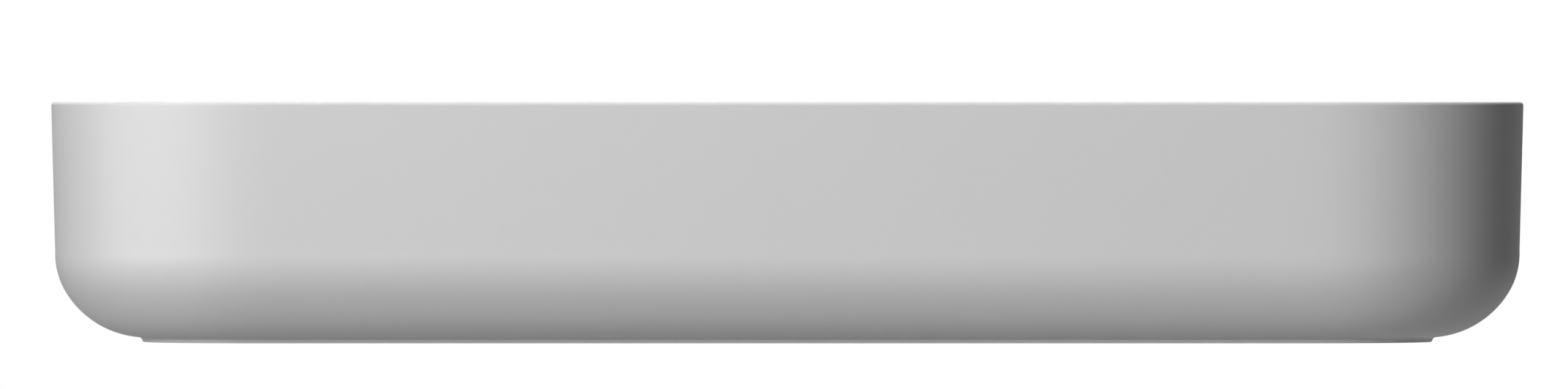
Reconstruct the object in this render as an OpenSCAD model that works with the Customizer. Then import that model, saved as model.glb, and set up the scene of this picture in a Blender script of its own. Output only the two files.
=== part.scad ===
// Wall-hung basin: one long ceramic moulding with a coved foot, its push-to-open waste, its overflow trim
// and its two wall fixings. Millimetres. The origin lies on the wall plane, midway between the two wall
// bolts. +X is to the right, +Y into the wall, +Z up, so the front faces -Y.

/* [Basin] */
// Width across the rim
basin_w = 1000; // [900:10:1200]
// Depth from the wall to the front of the rim
basin_d = 480; // [460:5:520]
// Height from the foot to the rim
basin_h = 162.5; // [158:0.5:180]
// Plan radius of the two front corners at the rim
front_r = 140; // [130:1:160]
// Radius of the two upright back edges
back_edge_r = 8; // [4:1:12]
// Lean of the outer wall, in degrees
wall_draft = 1.49; // [1:0.01:3]
// Radius of the belly under the wall
belly_r = 56.5; // [50:0.5:60]
// Height of the foot
foot_h = 5.7; // [4:0.1:8]
// How far the cove of the foot starts outside the lowest point of the belly
cove_out = 2.4; // [1.5:0.1:4]
// Width of the foot ring on the surface that it stands on
foot_ring_w = 14; // [12:1:18]
// Radius of the outer edge of the rim
rim_r = 2.4; // [1.5:0.1:4]
// Thickness of the ceramic
shell_t = 12; // [10:0.5:14]
// Thickness of the back wall
back_t = 14; // [12:1:18]

/* [Bowl] */
// Width of the rim in front of and beside the bowl
rim_w = 13; // [12:0.5:18]
// Depth of the tap deck, from the wall to the bowl
deck_d = 110; // [105:1:130]
// Thickness of the tap deck
deck_t = 14; // [12:1:18]
// Depth of the bowl to its flat floor
bowl_depth = 96.5; // [92:0.5:98]
// Lean of the bowl wall, in degrees
bowl_draft = 4; // [2:0.5:8]
// Plan radius of the two back corners of the bowl
bowl_back_r = 84; // [75:1:110]
// Radius between the bowl wall and its floor
bowl_fillet_r = 45; // [30:1:50]
// Radius of the inner edge of the rim
bowl_edge_r = 3; // [2:0.5:4]
// Radius of the dished part of the floor
dish_r = 115; // [90:1:120]
// Fall of the dished part of the floor to the waste
dish_drop = 3; // [2:0.5:4]

/* [Waste hole and overflow] */
// Radius of the waste hole
waste_hole_r = 23; // [22.5:0.5:24]
// Radius of the seat that the waste flange lies in
seat_r = 35; // [34:0.5:37]
// Depth of that seat
seat_drop = 5; // [4:0.5:6]
// Radius of the boss round the waste hole
boss_r = 40; // [38:1:45]
// Height of the boss from its underside to the seat
boss_h = 22; // [18:1:24]
// Radius of the overflow hole
overflow_r = 12; // [11:0.5:13]
// Depth of the overflow hole's centre below the rim
overflow_drop = 30.5; // [28:0.5:40]
// Width of the overflow passage
duct_w = 44; // [36:1:50]
// Depth of the upright part of the overflow passage, front to back
duct_d = 14; // [12:1:16]
// Height of the part of the overflow passage under the floor
duct_h = 9; // [7:1:10]
// Thickness of the passage walls
duct_t = 8; // [6:1:9]

/* [Tap hole] */
// Radius of the tap hole
tap_r = 17.5; // [16:0.5:18]
// Distance of the tap hole from the wall
tap_y = 50; // [44:1:54]
// Radius of the glazed lips of a hole through the ceramic
lip_r = 1.5; // [1:0.5:2]

/* [Wall fixings] */
// Height of the wall bolts above the foot
fix_h = 108; // [100:1:115]
// Distance between the wall bolts
fix_span = 280; // [200:10:400]
// Radius of the wall bolts
bolt_r = 5; // [4:0.5:6]
// How far a bolt reaches into the wall
bolt_in_wall = 70; // [50:1:90]
// Length of the tapered tip of a bolt
bolt_tip = 12; // [8:1:16]
// Length of the plain neck between a bolt's wall thread and its nut thread
neck_h = 3; // [2:0.5:5]
// Depth of that neck
neck_t = 0.5; // [0.3:0.1:1]
// Radius of the holes in the back wall
fix_hole_r = 14; // [13:0.5:16]
// Clearance between a sleeve and its hole
sleeve_gap = 0.2; // [0.1:0.1:0.5]
// Radius of a sleeve's flange
sleeve_flange_r = 18; // [17:0.5:20]
// Thickness of a sleeve's flange
sleeve_flange_t = 3; // [2:0.5:4]
// Radius of a washer
washer_r = 15; // [14:0.5:16]
// Thickness of a washer
washer_t = 2; // [1.5:0.5:3]
// Distance across the flats of a bolt nut
nut_flats = 17; // [15:1:18]
// Height of a bolt nut
nut_h = 8; // [6:0.5:10]
// Length of bolt that stands out of its nut
bolt_out = 4; // [2:0.5:6]
// Wall of a nut cap
cap_wall = 1.2; // [1:0.1:2]

/* [Waste fitting] */
// Radius of the waste flange
flange_r = 33; // [32:0.5:34]
// Thickness of the waste flange
flange_t = 4.5; // [4.3:0.1:5]
// Outer radius of the waste tube, over its pipe thread
tube_r = 20.95; // [20:0.05:21.5]
// Wall of the waste tube
tube_t = 2.05; // [1.8:0.05:2.3]
// Radius of the conical plug seat at its mouth
cone_r = 29; // [28:0.5:30]
// Height of the conical plug seat
cone_h = 4; // [3.5:0.1:4.2]
// Length of tube below the lock nut, free for a trap
tail_free = 17; // [12:1:19]
// Height of the relief that parts the clamp thread from the trap thread
relief_h = 1.2; // [1:0.1:2]
// Depth of that relief
relief_t = 0.6; // [0.4:0.1:0.8]
// Number of overflow windows in the tube
window_count = 4; // [2:1:6]
// Width of an overflow window
window_w = 12; // [8:0.5:14]
// Thickness of the flange seal
flange_seal_t = 1.5; // [1:0.1:2]
// Thickness of the clamp gasket
gasket_t = 4.5; // [3:0.5:6]
// Height of the gasket's tapered lip
gasket_lip = 3; // [2:0.5:4]
// Thickness of the slip washer
slip_t = 1.5; // [1:0.1:2]
// Height of the lock nut
lock_nut_h = 10; // [8:0.5:12]
// Distance across the flats of the lock nut
lock_nut_flats = 54; // [52:1:56]

/* [Plug and cartridge] */
// Travel of the plug
travel = 8; // [6:0.5:9]
// Radius of the plug cap
cap_r = 32; // [31:0.5:33]
// Height of the plug cap's edge
cap_edge_h = 2.5; // [2:0.1:3]
// Rise of the plug cap's dome
cap_dome_h = 3.5; // [2:0.5:5]
// Width of the plug cap's edge around the hollow under it
cap_rim_w = 2; // [1.5:0.1:3]
// Depth of that hollow
cap_hollow = 2.4; // [1:0.1:2.5]
// Radius of the stem
stem_r = 3.5; // [3:0.1:4]
// Outer radius of the cartridge
cart_r = 10; // [9.5:0.1:11]
// Wall of the cartridge
cart_t = 2; // [1.5:0.1:2.2]
// Thickness of the cartridge lid's rim
lid_t = 3; // [2.5:0.5:4]
// Thickness of the stop collar on the stem
collar_t = 3; // [2:0.5:4]
// Thickness of the cam
cam_t = 4; // [3:0.5:5]
// Wire radius of the spring
wire_r = 0.6; // [0.5:0.05:0.7]
// Turns of the spring
spring_turns = 4.5; // [3.5:0.5:5]
// Radius of the plug seal's section
plug_seal_r = 1.8; // [1.6:0.1:1.9]
// Number of crown teeth on the cam
tooth_count = 8; // [6:1:9]
// Height of a crown tooth
tooth_h = 1.2; // [0.8:0.1:1.5]
// Number of guide ribs in the cartridge
rib_count = 4; // [3:1:5]
// Width of a guide rib
rib_w = 1.4; // [1:0.1:1.8]
// How far a guide rib stands into the cartridge
rib_t = 0.9; // [0.6:0.1:1]

/* [Fits] */
// Radial clearance of a threaded or screwed fit
screw_gap = 0.05; // [0.02:0.01:0.1]
// Radial clearance of the stem in its lid
run_gap = 0.06; // [0.02:0.01:0.1]
// Clearance kept between moving pieces and what they stop at
stop_gap = 0.3; // [0.2:0.05:0.5]
// Clearance of a guide rib in its slot, each way
rib_gap = 0.3; // [0.2:0.05:0.4]

/* [Hidden] */

// Overshoot of a cutting shape past the face that it cuts
over = 5;
// Overshoot of an arc past the lines that it joins
lap = 0.01;
// Heights
foot_z = -fix_h;
rim_z = foot_z + basin_h;
belly_z = foot_z + foot_h + belly_r;
floor_z = rim_z - bowl_depth;
seat_z = floor_z - dish_drop - seat_drop;
boss_z = seat_z - boss_h;
overflow_z = rim_z - overflow_drop;

// Plan of the outside: corner centres and the front of the rim
front_y = -basin_d;
outer_cx = basin_w / 2 - front_r;
outer_cy = front_y + front_r;

// Plan of the bowl
bowl_half_w = basin_w / 2 - rim_w;
bowl_front_y = front_y + rim_w;
bowl_back_y = -deck_d;
bowl_front_r = front_r - rim_w;
waste_y = (bowl_front_y + bowl_back_y) / 2;

// Overflow passage: the upright part lies behind the bowl wall, the level part under the floor
overflow_y = bowl_back_y - overflow_drop * tan(bowl_draft);
duct_y0 = overflow_y + shell_t;
duct_y1 = duct_y0 + duct_d;
duct_z1 = floor_z - shell_t + 1;
duct_z0 = duct_z1 - duct_h;

// Plug and cartridge, from the flange down, with the plug at rest, which is open
flange_top = seat_z + flange_seal_t + flange_t;
tube_in_r = tube_r - tube_t;
tail_z = boss_z - gasket_t - slip_t - lock_nut_h - tail_free;
cap_z = flange_top + stop_gap + travel;
cone_lean = atan(cone_h / (cone_r - tube_in_r));
seal_ring_r = tube_in_r - 0.9;
seal_rise = ((cone_r - seal_ring_r) * sin(cone_lean) - plug_seal_r - stop_gap) / cos(cone_lean);
plug_seal_z = flange_top + travel - seal_rise;
groove_r = seal_ring_r - plug_seal_r;
plug_lip_r = tube_in_r - 1.1;
plug_lip_z = plug_seal_z - plug_seal_r - 2;
lid_top = plug_lip_z - travel - 1;
lid_z = lid_top - lid_t;
lid_spigot = 3;
collar_top = lid_z - lid_spigot - stop_gap;
cam_top = collar_top - collar_t;
spring_top = cam_top - cam_t;
cart_floor_t = 6;
cart_in_r = cart_r - cart_t;
spring_z = spring_top - 15.2;
cart_z = spring_z - cart_floor_t;
stud_r = 3;
stud_h = 4.5;
hub_r = 6;
hub_h = 6;
spider_t = 3;

// Radius of the spring's coil, in the middle of its wire
coil_r = 5.5;

ceramic = [0.94, 0.94, 0.93];
chrome = [0.78, 0.79, 0.81];
brass = [0.80, 0.66, 0.36];
steel = [0.66, 0.67, 0.69];
rubber = [0.13, 0.13, 0.14];
nylon = [0.90, 0.90, 0.87];
acetal = [0.93, 0.93, 0.90];

// Rounds a length to a thousandth, so that sections of different radius meet exactly
function snap(v) = round(v * 1000) / 1000;

// How far a leaning wall has come in at a height, measured from its line at the rim
function lean_in(lean, z) = (rim_z - z) * tan(lean);

// Part of a disc between two angles. It overshoots its nominal radius and both angles a little, so that
// it crosses the straight lines that it joins at a clean angle.
module sector(r, from, to) {
    far = 3 * r;
    a = from - 20;
    b = to + 20;
    mid = (a + b) / 2;
    intersection() {
        circle(r + lap, $fn = 96);
        polygon([[0, 0], far * [cos(a), sin(a)], far * [cos(mid), sin(mid)], far * [cos(b), sin(b)]]);
    }
}

// Sections are drawn in a plane, with x outward from a corner centre and y up. A corner of plan radius r
// has its rim line at x = r.

// The outside of the moulding: foot, cove, belly, wall and rounded rim
module outer_section(r) {
    belly_x = r - snap(lean_in(wall_draft, belly_z) + belly_r);
    cove_x = belly_x + cove_out;
    edge_z = rim_z - rim_r;
    edge_x = r - snap(lean_in(wall_draft, edge_z) + rim_r / cos(wall_draft));
    difference() {
        union() {
            polygon([[0, foot_z], [cove_x, foot_z], [cove_x, belly_z], [belly_x + belly_r, belly_z],
                [edge_x, edge_z] + rim_r * [cos(wall_draft), -sin(wall_draft)],
                [edge_x, rim_z], [0, rim_z]]);
            translate([belly_x, belly_z]) sector(belly_r, -70, 0);
            translate([edge_x, edge_z]) sector(rim_r, -wall_draft, 90);
        }
        translate([cove_x, foot_z]) circle(foot_h + 0.2, $fn = 64);
    }
}

// The hollow under the basin, which follows the outside one shell thickness in
module skirt_section(r) {
    belly_x = r - snap(lean_in(wall_draft, belly_z) + belly_r);
    mouth_x = belly_x + cove_out - foot_h - foot_ring_w;
    in_r = belly_r - shell_t;
    top_z = rim_z - deck_t;
    polygon([[0, foot_z - over], [mouth_x, foot_z - over], [mouth_x, belly_z - in_r],
        [belly_x, belly_z - in_r], [belly_x + in_r, belly_z],
        [r - snap(lean_in(wall_draft, top_z)) - shell_t, top_z], [0, top_z]]);
    translate([belly_x, belly_z]) sector(in_r, -90, 0);
}

// A tub with a leaning wall and a rounded foot: the bowl, and with a skin the outside of the bowl
module tub_section(r, skin, top_z) {
    fillet = bowl_fillet_r + skin;
    fillet_z = floor_z + bowl_fillet_r;
    fillet_x = r - snap(lean_in(bowl_draft, fillet_z) + bowl_fillet_r / cos(bowl_draft));
    polygon([[0, floor_z - skin], [fillet_x, floor_z - skin],
        [fillet_x + snap(fillet * cos(bowl_draft)), fillet_z - fillet * sin(bowl_draft)],
        [r - snap(lean_in(bowl_draft, top_z) - skin / cos(bowl_draft)), top_z], [0, top_z]]);
    translate([fillet_x, fillet_z]) sector(fillet, -90, -bowl_draft);
}

// The bowl's hollow, which flares over the rounded inner edge of the rim
module bowl_section(r) {
    top_z = rim_z + over;
    edge_z = rim_z - bowl_edge_r;
    edge_x = r - snap(lean_in(bowl_draft, edge_z) - bowl_edge_r / cos(bowl_draft));
    wall_x = edge_x - snap(bowl_edge_r * cos(bowl_draft));
    wall_z = edge_z + bowl_edge_r * sin(bowl_draft);
    difference() {
        union() {
            tub_section(r, 0, top_z);
            polygon([[wall_x - over, wall_z], [wall_x, wall_z], [edge_x, edge_z], [edge_x, top_z],
                [wall_x - over, top_z]]);
        }
        translate([edge_x, edge_z]) circle(bowl_edge_r + lap, $fn = 48);
    }
}

// A quarter turn of a section round a corner centre
module quarter(x, y, start) {
    translate([x, y, 0]) rotate([0, 0, start]) rotate_extrude(angle = 90, $fn = 128) children();
}

// A straight run of a section. Turned by 0 it faces +X and runs towards -Y.
module run(x, y, turn, length) {
    translate([x, y, 0]) rotate([0, 0, turn]) rotate([90, 0, 0]) linear_extrude(length) children();
}

// A section carried round the front corners and along the sides to a flat back
module apron(back_y, z0, z1) {
    depth = back_y - outer_cy;
    quarter(outer_cx, outer_cy, -90) children();
    quarter(-outer_cx, outer_cy, 180) children();
    run(outer_cx, outer_cy, -90, 2 * outer_cx) children();
    run(outer_cx, back_y, 0, depth) children();
    run(-outer_cx, outer_cy, 180, depth) children();
    translate([-outer_cx, outer_cy, z0]) cube([2 * outer_cx, depth, z1 - z0]);
}

// The bowl's plan: front corners and back corners have their own radii
module bowl_plan(skin) {
    fx = bowl_half_w - bowl_front_r;
    fy = bowl_front_y + bowl_front_r;
    bx = bowl_half_w - bowl_back_r;
    by = bowl_back_y - bowl_back_r;
    top_z = skin > 0 ? rim_z : rim_z + over;
    for (s = [[1, -90], [-1, 180]]) quarter(s[0] * fx, fy, s[1]) bowl_cut(bowl_front_r, skin);
    for (s = [[1, 0], [-1, 90]]) quarter(s[0] * bx, by, s[1]) bowl_cut(bowl_back_r, skin);
    run(fx, fy, -90, 2 * fx) bowl_cut(bowl_front_r, skin);
    run(-bx, by, 90, 2 * bx) bowl_cut(bowl_back_r, skin);
    run(fx, by, 0, by - fy) bowl_cut(bowl_front_r, skin);
    run(-fx, fy, 180, by - fy) bowl_cut(bowl_front_r, skin);
    translate([-fx, fy, floor_z - skin]) cube([2 * fx, by - fy, top_z - floor_z + skin]);
}

module bowl_cut(r, skin) {
    if (skin > 0) tub_section(r, skin, rim_z);
    else bowl_section(r);
}

// A hole through ceramic of thickness t with rounded lips, drawn down from the face at z = 0
module lipped_hole(r, t) {
    rotate_extrude($fn = 96) difference() {
        translate([0, -t - over]) square([r + lip_r, t + 2 * over]);
        for (z = [-lip_r, lip_r - t]) translate([r + lip_r, z]) circle(lip_r + lap, $fn = 32);
        translate([r, lip_r - t]) square([over, t - 2 * lip_r]);
    }
}

// The block that the overflow passage runs in
module duct_block() {
    half = duct_w / 2 + duct_t;
    translate([-half, bowl_back_y - 25, duct_z0 - duct_t])
        cube([2 * half, duct_y1 + duct_t - bowl_back_y + 25, rim_z - deck_t / 2 - duct_z0 + duct_t]);
    translate([-half, waste_y, duct_z0 - duct_t])
        cube([2 * half, duct_y1 + duct_t - waste_y, floor_z - duct_z0 + duct_t - shell_t / 2]);
}

module duct_passage() {
    translate([-duct_w / 2, duct_y0, duct_z0]) cube([duct_w, duct_d, overflow_z + 16 - duct_z0]);
    translate([-duct_w / 2, waste_y, duct_z0]) cube([duct_w, duct_y1 - waste_y, duct_h]);
}

// Places a child drawn along +Z on the overflow's axis, from the bowl's back wall into the ceramic
module at_overflow() {
    translate([0, overflow_y, overflow_z]) rotate([-(90 + bowl_draft), 0, 0]) children();
}

module at_waste(z) {
    translate([0, waste_y, z]) children();
}

// Places a child drawn along +Z on each wall bolt's axis, pointing away from the wall
module at_bolts(y) {
    for (s = [-1, 1]) translate([s * fix_span / 2, y, 0]) rotate([90, 0, 0]) children();
}

module back_edge_cut() {
    cx = basin_w / 2 - back_edge_r + 0.8;
    for (s = [0, 1]) mirror([s, 0, 0]) translate([cx, -back_edge_r, foot_z - over]) difference() {
        cube([back_edge_r + over, back_edge_r + over, basin_h + 2 * over]);
        cylinder(r = back_edge_r, h = basin_h + 2 * over, $fn = 64);
    }
}

// The outside of the moulding, less the hollow under it
module outer_shell() {
    difference() {
        apron(0, foot_z, rim_z) outer_section(front_r);
        difference() {
            apron(-back_t, foot_z - over, rim_z - deck_t) skirt_section(front_r);
            bowl_plan(shell_t);
            duct_block();
            at_waste(boss_z) cylinder(r = boss_r, h = floor_z - boss_z, $fn = 96);
        }
    }
}

// The dished floor, the flange seat and the waste hole
module drain_cut() {
    fall = (dish_r - seat_r) / dish_drop;
    at_waste(floor_z - dish_drop)
        cylinder(r1 = seat_r, r2 = dish_r + fall, h = dish_drop + 1, $fn = 128);
    at_waste(seat_z) cylinder(r = seat_r, h = seat_drop + dish_drop, $fn = 96);
    at_waste(boss_z - over) cylinder(r = waste_hole_r, h = boss_h + 2 * over, $fn = 96);
}

module basin_body() {
    color(ceramic) difference() {
        difference() {
            outer_shell();
            bowl_plan(0);
        }
        drain_cut();
        duct_passage();
        at_overflow() translate([0, 0, -over])
            cylinder(r = overflow_r, h = shell_t + 2 * over, $fn = 64);
        translate([0, -tap_y, rim_z]) lipped_hole(tap_r, deck_t);
        at_bolts(0) mirror([0, 0, 1]) lipped_hole(fix_hole_r, back_t);
        back_edge_cut();
    }
}

module overflow_ring() {
    color(chrome) at_overflow() difference() {
        union() {
            translate([0, 0, -3]) cylinder(r1 = overflow_r + 2.2, r2 = overflow_r + 3.5, h = 1, $fn = 64);
            translate([0, 0, -2]) cylinder(r = overflow_r + 3.5, h = 1, $fn = 64);
            translate([0, 0, -1]) cylinder(r = overflow_r - screw_gap, h = shell_t - 1, $fn = 64);
        }
        translate([0, 0, -over]) cylinder(r = overflow_r - 1.6, h = shell_t + 2 * over, $fn = 64);
    }
}

module overflow_seal() {
    color(rubber) at_overflow() translate([0, 0, -1]) difference() {
        cylinder(r = overflow_r + 3, h = 1, $fn = 64);
        translate([0, 0, -over]) cylinder(r = overflow_r, h = 1 + 2 * over, $fn = 64);
    }
}

module waste_body() {
    flange_z = seat_z + flange_seal_t;
    color(chrome) at_waste(0) {
        difference() {
            union() {
                translate([0, 0, flange_z]) cylinder(r = flange_r, h = flange_t - 0.6, $fn = 96);
                translate([0, 0, flange_top - 0.6])
                    cylinder(r1 = flange_r, r2 = flange_r - 1, h = 0.6, $fn = 96);
                translate([0, 0, tail_z]) cylinder(r = tube_r, h = flange_z - tail_z, $fn = 96);
            }
            translate([0, 0, tail_z - over])
                cylinder(r = tube_in_r, h = flange_top - cone_h / 2 - tail_z + over, $fn = 96);
            translate([0, 0, tail_z + tail_free - relief_h]) difference() {
                cylinder(r = tube_r + over, h = relief_h, $fn = 96);
                cylinder(r = tube_r - relief_t, h = relief_h, $fn = 96);
            }
            translate([0, 0, flange_top - cone_h])
                cylinder(r1 = tube_in_r, r2 = cone_r + (cone_r - tube_in_r) / cone_h, h = cone_h + 1, $fn = 96);
            for (i = [0 : window_count - 1]) rotate([0, 0, 90 + i * 360 / window_count])
                translate([0, -window_w / 2, duct_z0]) cube([tube_r + over, window_w, duct_h]);
        }
        for (i = [0 : 2]) rotate([0, 0, 30 + 120 * i])
            translate([hub_r - 2, -spider_t / 2, cart_z - hub_h + 0.5])
                cube([tube_in_r + 3 - hub_r, spider_t, hub_h - 1.5]);
        translate([0, 0, cart_z - hub_h]) cylinder(r = hub_r, h = hub_h, $fn = 48);
        translate([0, 0, cart_z - 2]) cylinder(r = stud_r, h = stud_h + 2, $fn = 48);
    }
}

module flange_seal() {
    color(rubber) at_waste(seat_z) difference() {
        cylinder(r = flange_r - 0.5, h = flange_seal_t, $fn = 96);
        translate([0, 0, -over]) cylinder(r = waste_hole_r + 1, h = flange_seal_t + 2 * over, $fn = 96);
    }
}

module clamp_gasket() {
    color(rubber) at_waste(boss_z) difference() {
        union() {
            translate([0, 0, -gasket_t]) cylinder(r = flange_r, h = gasket_t, $fn = 96);
            cylinder(r1 = waste_hole_r - 0.2, r2 = tube_r + 0.8, h = gasket_lip, $fn = 96);
        }
        translate([0, 0, -gasket_t - over])
            cylinder(r = tube_r + screw_gap, h = gasket_t + gasket_lip + 2 * over, $fn = 96);
    }
}

module slip_washer() {
    color(acetal) at_waste(boss_z - gasket_t - slip_t) difference() {
        cylinder(r = flange_r - 2, h = slip_t, $fn = 96);
        translate([0, 0, -over]) cylinder(r = tube_r + 0.3, h = slip_t + 2 * over, $fn = 96);
    }
}

// A hexagon nut with both faces chamfered at 30 degrees
module hex_nut(flats, h, bore_r) {
    face_r = flats / 2 - 0.3;
    spread = h / tan(30);
    difference() {
        intersection() {
            cylinder(r = flats / sqrt(3), h = h, $fn = 6);
            cylinder(r1 = face_r, r2 = face_r + spread, h = h, $fn = 64);
            cylinder(r1 = face_r + spread, r2 = face_r, h = h, $fn = 64);
        }
        translate([0, 0, -over]) cylinder(r = bore_r, h = h + 2 * over, $fn = 96);
    }
}

module lock_nut() {
    color(brass) at_waste(boss_z - gasket_t - slip_t - lock_nut_h)
        hex_nut(lock_nut_flats, lock_nut_h, tube_r + screw_gap);
}

// Guide ribs round the cartridge's bore, or with a gap the slots that run on them
module guide_ribs(h, gap) {
    for (i = [0 : rib_count - 1]) rotate([0, 0, i * 360 / rib_count])
        translate([cart_in_r - rib_t - gap, -rib_w / 2 - gap, 0]) cube([rib_t + gap + 1, rib_w + 2 * gap, h]);
}

// Crown teeth that point up from z = 0, wider and higher by a gap all round
module crown_teeth(gap) {
    half = 180 / tooth_count;
    foot_w = 2 * (cart_in_r - 2.2) * tan(half) - 0.4;
    intersection() {
        difference() {
            cylinder(r = cart_in_r - 0.4 + gap * over, h = tooth_h + gap, $fn = 64);
            translate([0, 0, -over]) cylinder(r = stem_r + 1, h = tooth_h + 2 * over, $fn = 48);
        }
        for (i = [0 : tooth_count - 1]) rotate([0, 0, (i + 0.5) * 2 * half]) rotate([90, 0, 90])
            linear_extrude(cart_in_r + over)
                polygon([[-foot_w / 2 - gap, -1], [foot_w / 2 + gap, -1], [foot_w / 2 + gap, 0],
                    [0.3, tooth_h + gap], [-0.3, tooth_h + gap], [-foot_w / 2 - gap, 0]]);
    }
}

module cartridge_housing() {
    rib_h = lid_z - lid_spigot - cart_z - cart_floor_t;
    color(acetal) at_waste(cart_z) {
        difference() {
            cylinder(r = cart_r, h = lid_z - cart_z, $fn = 64);
            translate([0, 0, cart_floor_t]) cylinder(r = cart_in_r, h = lid_z - cart_z, $fn = 64);
            translate([0, 0, -over]) cylinder(r = stud_r + screw_gap, h = over + stud_h + 0.5, $fn = 48);
        }
        translate([0, 0, cart_floor_t - 1]) guide_ribs(rib_h + 0.8, 0);
    }
}

module cartridge_lid() {
    color(acetal) at_waste(lid_z) difference() {
        union() {
            cylinder(r = cart_r, h = lid_t, $fn = 64);
            translate([0, 0, -lid_spigot]) cylinder(r = cart_in_r - screw_gap, h = lid_spigot, $fn = 64);
        }
        translate([0, 0, -lid_spigot - over])
            cylinder(r = stem_r + run_gap, h = lid_t + lid_spigot + 2 * over, $fn = 48);
    }
}

// One tube wound along a helix, with flat ends
spring_steps = 8;
spring_sides = 6;
function helix_point(t, h) = [coil_r * cos(360 * t), coil_r * sin(360 * t), h * t / spring_turns];
function ring_point(t, a, h) = helix_point(t, h)
    + wire_r * cos(a) * [cos(360 * t), sin(360 * t), 0] + [0, 0, wire_r * sin(a)];

module cartridge_spring() {
    h = spring_top - spring_z - 2 * wire_r;
    rings = spring_turns * spring_steps;
    points = [for (i = [0 : rings], k = [0 : spring_sides - 1])
        ring_point(i / spring_steps, 60 * k, h)];
    sides = [for (i = [0 : rings - 1], k = [0 : spring_sides - 1], half = [0, 1])
        let (a = i * spring_sides + k, b = i * spring_sides + (k + 1) % spring_sides)
        half == 0 ? [a, b, b + spring_sides] : [a, b + spring_sides, a + spring_sides]];
    start_cap = [for (k = [1 : spring_sides - 2]) [0, k + 1, k]];
    last = rings * spring_sides;
    end_cap = [for (k = [1 : spring_sides - 2]) [last, last + k, last + k + 1]];
    color(steel) at_waste(spring_z + wire_r) polyhedron(points, concat(sides, start_cap, end_cap));
}

module cartridge_cam() {
    color(nylon) at_waste(spring_top) difference() {
        union() {
            cylinder(r = cart_in_r - 0.4, h = cam_t, $fn = 64);
            translate([0, 0, cam_t]) crown_teeth(0);
        }
        translate([0, 0, -over]) cylinder(r = stem_r + screw_gap, h = cam_t + 2 * over, $fn = 48);
        translate([0, 0, -over]) guide_ribs(cam_t + 2 * over, rib_gap);
    }
}

module plug_stem() {
    tip_z = spring_top - 3;
    color(steel) at_waste(0) {
        translate([0, 0, tip_z]) cylinder(r = stem_r, h = cap_z - 1 - tip_z, $fn = 48);
        translate([0, 0, cam_top]) difference() {
            cylinder(r = cart_in_r - 0.4, h = collar_t, $fn = 64);
            crown_teeth(0.1);
            translate([0, 0, -over]) guide_ribs(collar_t + 2 * over, rib_gap);
        }
    }
}

module plug_cap() {
    dome_r = (cap_r * cap_r + cap_dome_h * cap_dome_h) / (2 * cap_dome_h);
    color(chrome) at_waste(0) difference() {
        union() {
            translate([0, 0, cap_z]) intersection() {
                cylinder(r = cap_r, h = cap_edge_h + cap_dome_h + 1, $fn = 96);
                translate([0, 0, cap_edge_h + cap_dome_h - dome_r]) sphere(dome_r, $fn = 256);
            }
            translate([0, 0, plug_lip_z]) cylinder(r = plug_lip_r, h = 2, $fn = 64);
            translate([0, 0, plug_lip_z]) cylinder(r = groove_r, h = cap_z - plug_lip_z, $fn = 64);
        }
        translate([0, 0, plug_lip_z - over])
            cylinder(r = stem_r + screw_gap, h = cap_z - 0.5 - plug_lip_z + over, $fn = 48);
        translate([0, 0, cap_z - over]) difference() {
            cylinder(r = cap_r - cap_rim_w, h = over + cap_hollow, $fn = 96);
            cylinder(r = plug_lip_r + cap_rim_w, h = over + cap_hollow, $fn = 64);
        }
    }
}

module plug_seal() {
    color(rubber) at_waste(plug_seal_z) rotate_extrude($fn = 96)
        translate([seal_ring_r, 0]) circle(plug_seal_r, $fn = 32);
}

module hanger_bolts() {
    inner = back_t + sleeve_flange_t + washer_t + nut_h + bolt_out;
    wall_end = 1;
    color(steel) at_bolts(0) {
        translate([0, 0, -bolt_in_wall]) cylinder(r1 = 1, r2 = bolt_r, h = bolt_tip, $fn = 48);
        translate([0, 0, bolt_tip - bolt_in_wall])
            cylinder(r = bolt_r, h = bolt_in_wall - bolt_tip + wall_end, $fn = 48);
        translate([0, 0, wall_end]) cylinder(r = bolt_r - neck_t, h = neck_h, $fn = 48);
        translate([0, 0, wall_end + neck_h])
            cylinder(r = bolt_r, h = inner - wall_end - neck_h, $fn = 48);
    }
}

module bolt_sleeves() {
    color(nylon) at_bolts(-2) difference() {
        union() {
            cylinder(r = fix_hole_r - sleeve_gap, h = back_t - 2, $fn = 64);
            translate([0, 0, back_t - 2]) cylinder(r = sleeve_flange_r, h = sleeve_flange_t, $fn = 64);
        }
        translate([0, 0, -over]) cylinder(r = bolt_r + 0.1, h = back_t + sleeve_flange_t + 2 * over, $fn = 48);
    }
}

module bolt_washers() {
    color(steel) at_bolts(-back_t - sleeve_flange_t) difference() {
        cylinder(r = washer_r, h = washer_t, $fn = 64);
        translate([0, 0, -over]) cylinder(r = bolt_r + 0.25, h = washer_t + 2 * over, $fn = 48);
    }
}

module bolt_nuts() {
    color(steel) at_bolts(-back_t - sleeve_flange_t - washer_t)
        hex_nut(nut_flats, nut_h, bolt_r + screw_gap);
}

module nut_caps() {
    in_r = nut_flats / sqrt(3) + 0.3;
    out_r = in_r + cap_wall;
    side_h = nut_h + bolt_out - 2;
    color(nylon) at_bolts(-back_t - sleeve_flange_t - washer_t) difference() {
        union() {
            cylinder(r = out_r, h = side_h, $fn = 64);
            translate([0, 0, side_h]) cylinder(r1 = out_r, r2 = out_r - 4, h = 4, $fn = 64);
        }
        translate([0, 0, -over]) cylinder(r = in_r, h = over + side_h, $fn = 64);
        translate([0, 0, side_h - 0.01])
            cylinder(r1 = in_r, r2 = in_r - 3.2, h = 3, $fn = 64);
    }
}

basin_body();
overflow_ring();
overflow_seal();
waste_body();
flange_seal();
clamp_gasket();
slip_washer();
lock_nut();
cartridge_housing();
cartridge_lid();
cartridge_spring();
cartridge_cam();
plug_stem();
plug_cap();
plug_seal();
hanger_bolts();
bolt_sleeves();
bolt_washers();
bolt_nuts();
nut_caps();
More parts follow.
